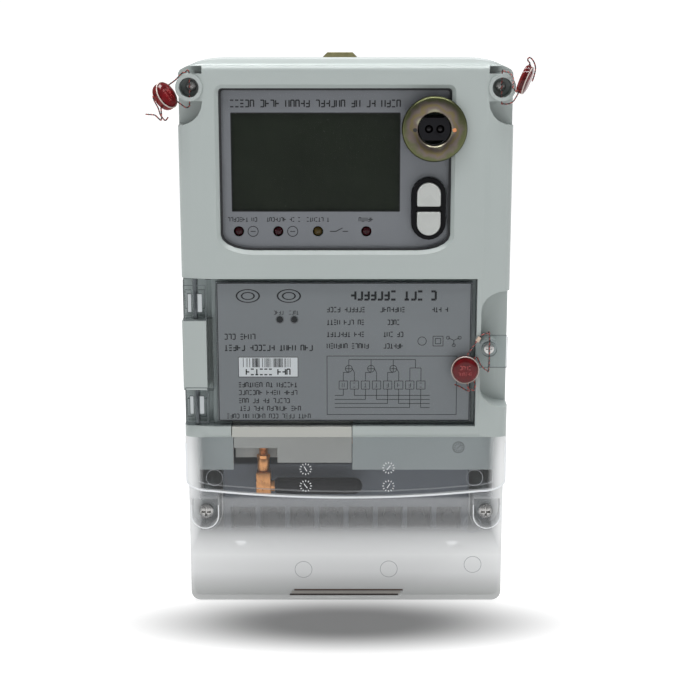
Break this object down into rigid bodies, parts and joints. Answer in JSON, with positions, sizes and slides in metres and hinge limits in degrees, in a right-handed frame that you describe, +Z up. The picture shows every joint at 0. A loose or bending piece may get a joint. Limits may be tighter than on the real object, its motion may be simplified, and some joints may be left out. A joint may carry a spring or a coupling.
{
  "type": "electricity meter",
  "caption": "Wall-mounted electronic electricity meter with display window, push buttons, optical port, hinged clear nameplate door, aerial module and clear terminal cover closed by wire seals.",
  "frame": {"origin": "middle of the back face, where the meter lies on the wall", "axes": "+Y into the wall, +Z up, +X to the right as one faces the meter"},
  "size_m": [0.1938, 0.0899, 0.2914],
  "materials": {
    "grey_plastic": "fine spark texture, greenish grey",
    "base_plastic": "fine spark texture, grey",
    "beige_plastic": "smooth, warm grey",
    "clear_plastic": "clear moulded polycarbonate",
    "print_grey": "printed satin film",
    "screen_glass": "dark display glass",
    "board_green": "solder mask",
    "black_plastic": "satin black",
    "button_white": "pearly light grey",
    "silicone": "matt",
    "yellow_zinc": "yellow passivated zinc on steel",
    "steel": "bright plated",
    "brass": "machined",
    "block_plastic": "glass-filled, dark grey",
    "copper": "wound enamelled copper",
    "coil_tape": "yellow tape",
    "relay_black": "black",
    "red_lens": "dark red",
    "amber_lens": "dark amber",
    "seal_clear": "clear moulded",
    "seal_red": "translucent deep red",
    "seal_wire": "twisted, dark red-brown coated"
  },
  "bodies": {
    "case": {"rear_base": "base_plastic", "front_shell": "grey_plastic", "window_lens": "clear_plastic", "fascia_plate": "print_grey", "display_panel": "screen_glass", "display_board": "board_green", "metering_board": "board_green", "led_active": "red_lens", "led_reactive": "red_lens", "led_alarm": "amber_lens", "led_relay": "red_lens", "port_ring": "yellow_zinc", "port_insert": "black_plastic", "port_eye_left": "black_plastic", "port_eye_right": "black_plastic", "button_bezel": "black_plastic", "button_pad": "silicone", "hinge_pin_upper": "steel", "hinge_pin_lower": "steel", "comm_module": "beige_plastic", "aerial_socket": "brass", "shell_screw_left": "steel", "shell_screw_right": "steel", "terminal_block": "block_plastic", "disconnect_relay": "relay_black", "power_transformer": "coil_tape", "terminal_1": "brass", "terminal_2": "brass", "terminal_3": "brass", "terminal_4": "brass", "terminal_5": "brass", "terminal_6": "brass", "terminal_7": "brass", "terminal_8": "brass", "current_sensor_1": "copper", "current_sensor_2": "copper", "current_sensor_3": "copper", "seal_left": "seal_clear", "seal_left_rotor": "seal_red", "seal_left_wire": "seal_wire", "seal_right": "seal_clear", "seal_right_rotor": "seal_red", "seal_right_wire": "seal_wire"},
    "nameplate_door": {"door": "clear_plastic", "nameplate": "print_grey", "door_screw": "steel", "seal_middle": "seal_clear", "seal_middle_rotor": "seal_red", "seal_middle_wire": "seal_wire", "crimp_sleeve": "beige_plastic"},
    "cover": {"terminal_cover": "clear_plastic", "cover_screw_left": "steel", "cover_screw_right": "steel"},
    "up_button": {"button_up": "button_white"},
    "down_button": {"button_down": "button_white"},
    "hanger": {"hanger_plate": "yellow_zinc"},
    "aerial": {"aerial_swivel": "brass", "aerial_rod": "black_plastic"}
  },
  "joints": [
    {"name": "door_hinge", "type": "hinge", "parent": "case", "child": "nameplate_door", "pos_m": [-0.078, -0.074, -0.00445], "axis": [0, 0, -1], "range_deg": [0, 110]},
    {"name": "cover_pull", "type": "slide", "parent": "case", "child": "cover", "axis": [0, -1, 0], "range_m": [0, 0.08]},
    {"name": "button_up_press", "type": "slide", "parent": "case", "child": "up_button", "axis": [0, 1, 0], "range_m": [0, 0.0012], "stiffness_N_per_m": 400},
    {"name": "button_down_press", "type": "slide", "parent": "case", "child": "down_button", "axis": [0, 1, 0], "range_m": [0, 0.0012], "stiffness_N_per_m": 400},
    {"name": "hanger_slide", "type": "slide", "parent": "case", "child": "hanger", "axis": [0, 0, 1], "range_m": [0, 0.018]},
    {"name": "aerial_turn", "type": "hinge", "parent": "case", "child": "aerial", "pos_m": [-0.0445, -0.061, -0.074], "axis": [0, 0, 1], "range_deg": [-3, 6]}
  ]
}
